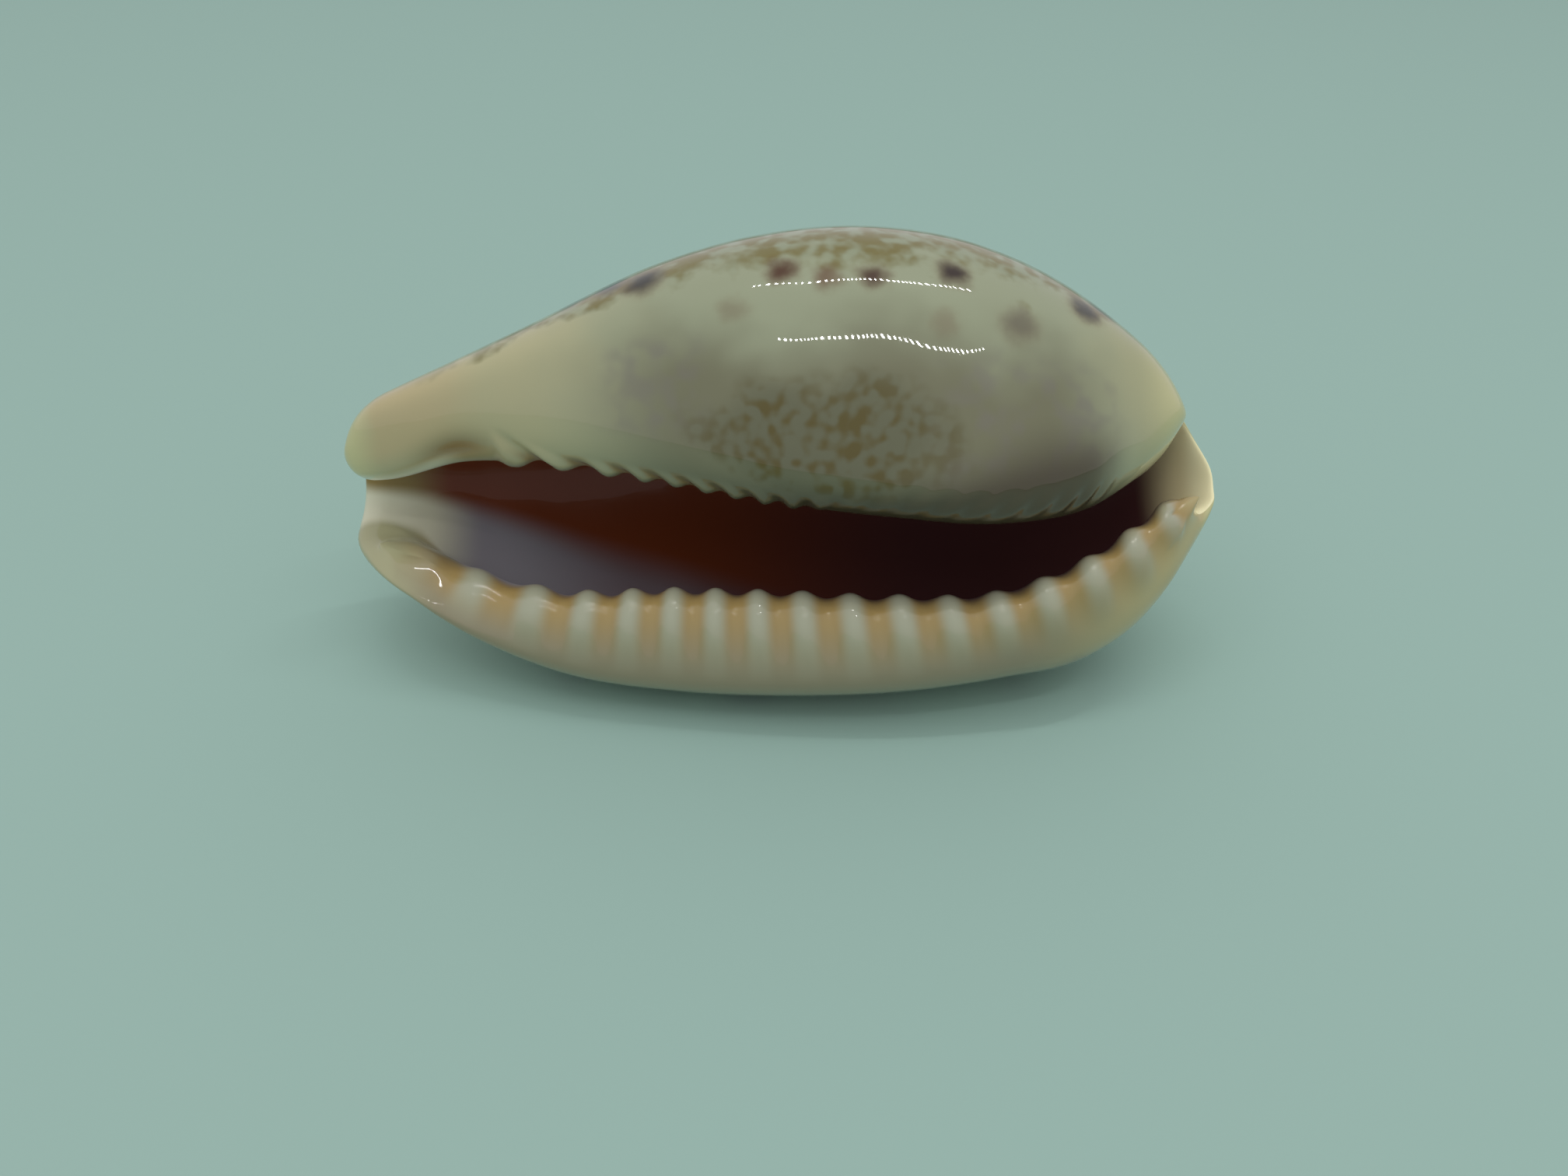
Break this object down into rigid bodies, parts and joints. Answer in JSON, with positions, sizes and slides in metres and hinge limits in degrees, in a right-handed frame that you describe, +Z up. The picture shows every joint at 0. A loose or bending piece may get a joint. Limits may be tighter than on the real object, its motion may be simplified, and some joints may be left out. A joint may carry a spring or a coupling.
{
  "type": "cowrie shell",
  "caption": "Pear-shaped cowrie shell lying on its outer lip side, with a long toothed mouth, a notch at each end and a domed glossy back.",
  "frame": {"origin": "middle of the bounding box in plan, at the level of the surface it lies on", "axes": "+X along the shell from the narrow front end to the broad rear end, +Y from the toothed mouth to the domed back, +Z up from the outer lip side it lies on"},
  "size_m": [0.03, 0.0134, 0.0152],
  "materials": {
    "enamel": "gloss"
  },
  "bodies": {
    "root": {"shell": "enamel"}
  },
  "joints": []
}
